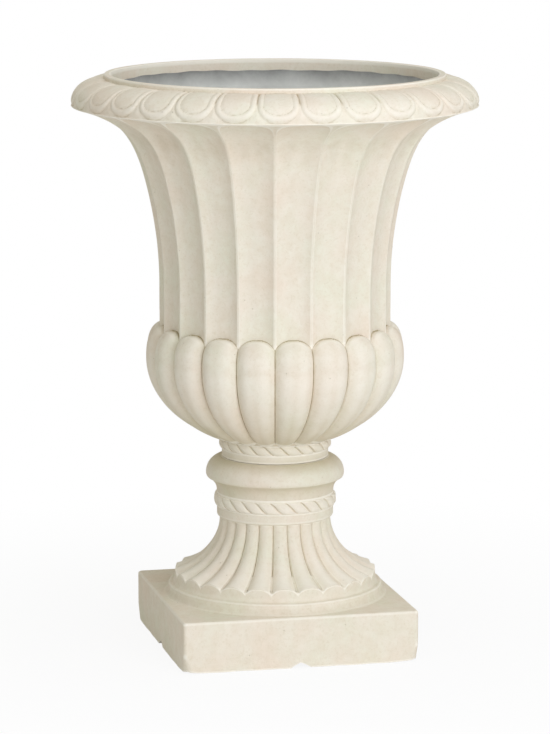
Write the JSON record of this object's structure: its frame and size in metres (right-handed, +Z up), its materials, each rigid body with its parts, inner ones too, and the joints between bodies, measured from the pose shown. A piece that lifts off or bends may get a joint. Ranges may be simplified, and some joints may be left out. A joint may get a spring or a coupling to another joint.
{
  "type": "urn planter",
  "caption": "Tall urn planter: a fluted, flaring bowl with an egg-and-dart rim and gadrooned base, bolted to a reeded round foot on a square plinth, with a lift-out drain plug.",
  "frame": {"origin": "centre of the plinth at floor level, under the plinth", "axes": "+Z up along the urn's axis; the plinth's sides lie along X and Y"},
  "size_m": [0.507, 0.507, 0.7222],
  "materials": {
    "cast_stone": "matt ivory cast stone with a tan antiquing wash in the recesses",
    "waterproof_coat": "mottled grey brushed-on coat",
    "rubber": "matt black moulded rubber",
    "zinc_steel": "bright zinc plate"
  },
  "bodies": {
    "urn": {"bowl": "cast_stone", "pedestal": "cast_stone", "bowl_coating": "waterproof_coat", "neck_gasket": "rubber", "bolt_seal": "rubber", "bolt_plate": "zinc_steel", "lower_plate": "zinc_steel", "centre_bolt": "zinc_steel", "lock_nut": "zinc_steel"},
    "plug": {"drain_plug": "rubber"}
  },
  "joints": [
    {"name": "drain_plug_lift", "type": "slide", "parent": "urn", "child": "plug", "axis": [0, 0, 1], "range_m": [0, 0.5]}
  ]
}
